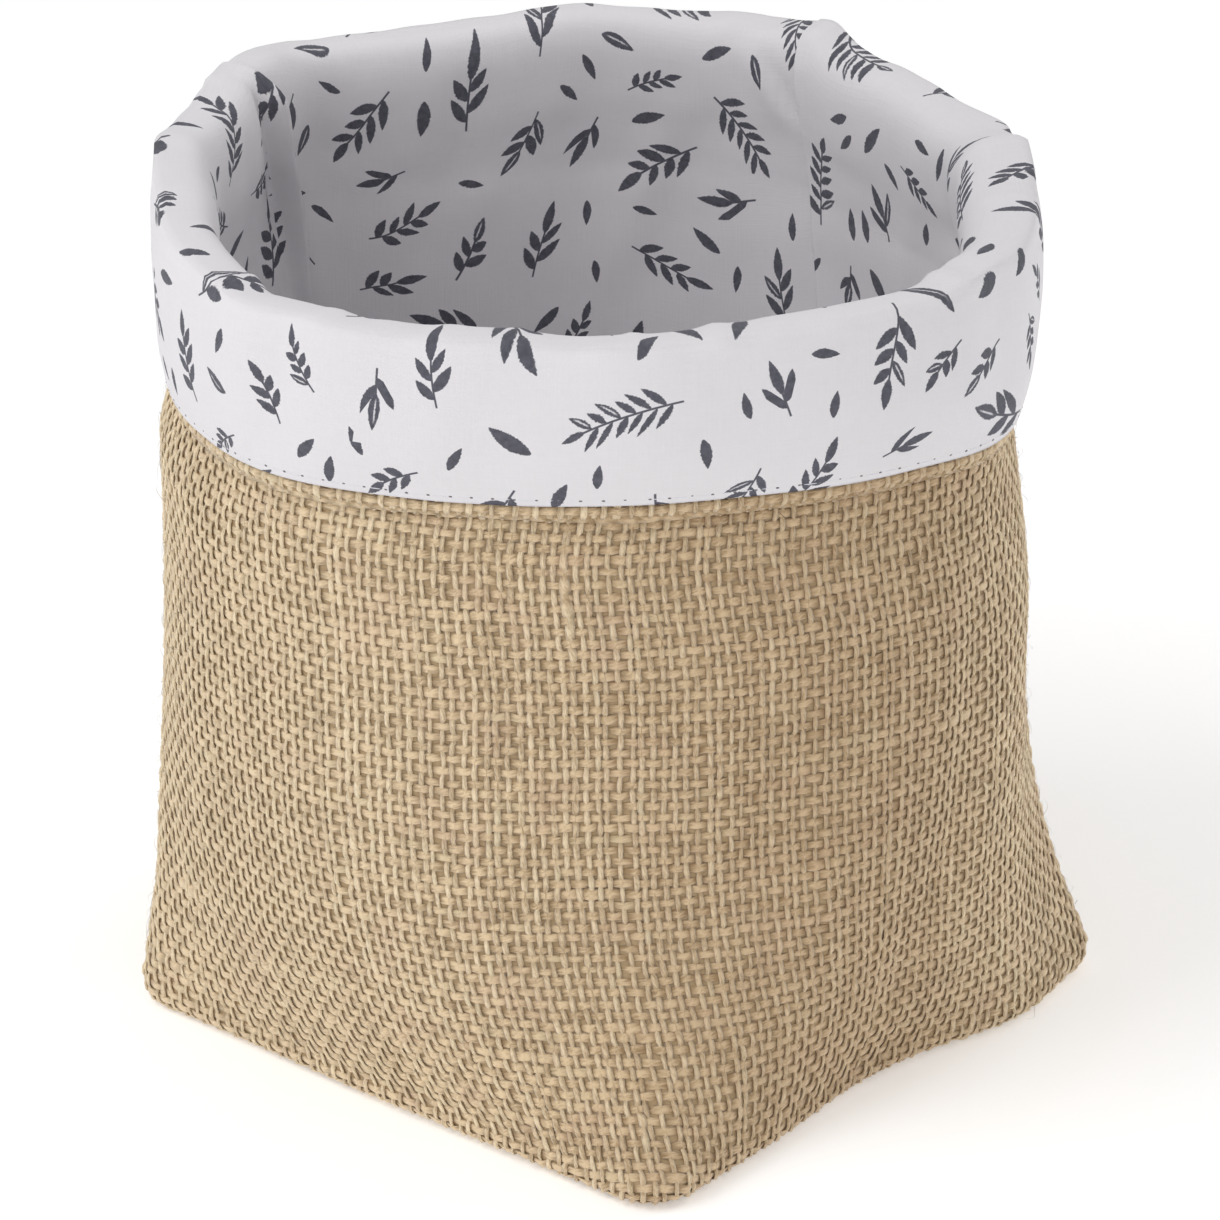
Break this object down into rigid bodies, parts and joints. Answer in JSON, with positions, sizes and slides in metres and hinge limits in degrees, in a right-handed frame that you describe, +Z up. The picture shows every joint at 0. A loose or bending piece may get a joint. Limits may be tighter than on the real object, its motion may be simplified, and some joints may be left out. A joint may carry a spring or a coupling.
{
  "type": "jute storage basket",
  "caption": "Soft square-bottomed storage basket of woven jute, lined with leaf-printed cotton, its top turned outward as a puffy cuff.",
  "frame": {"origin": "middle of the bottom, on the face that the basket stands on", "axes": "+Z up; the sides of the square bottom run along X and Y, and the seams of the lining stand towards -X and +Y"},
  "size_m": [0.1881, 0.1785, 0.1851],
  "materials": {
    "jute": "matte",
    "printed_cotton": "matte"
  },
  "bodies": {
    "root": {"jute_wall": "jute", "jute_base": "jute", "lining_wrap": "printed_cotton", "lining_back": "printed_cotton", "lining_base": "printed_cotton"}
  },
  "joints": []
}
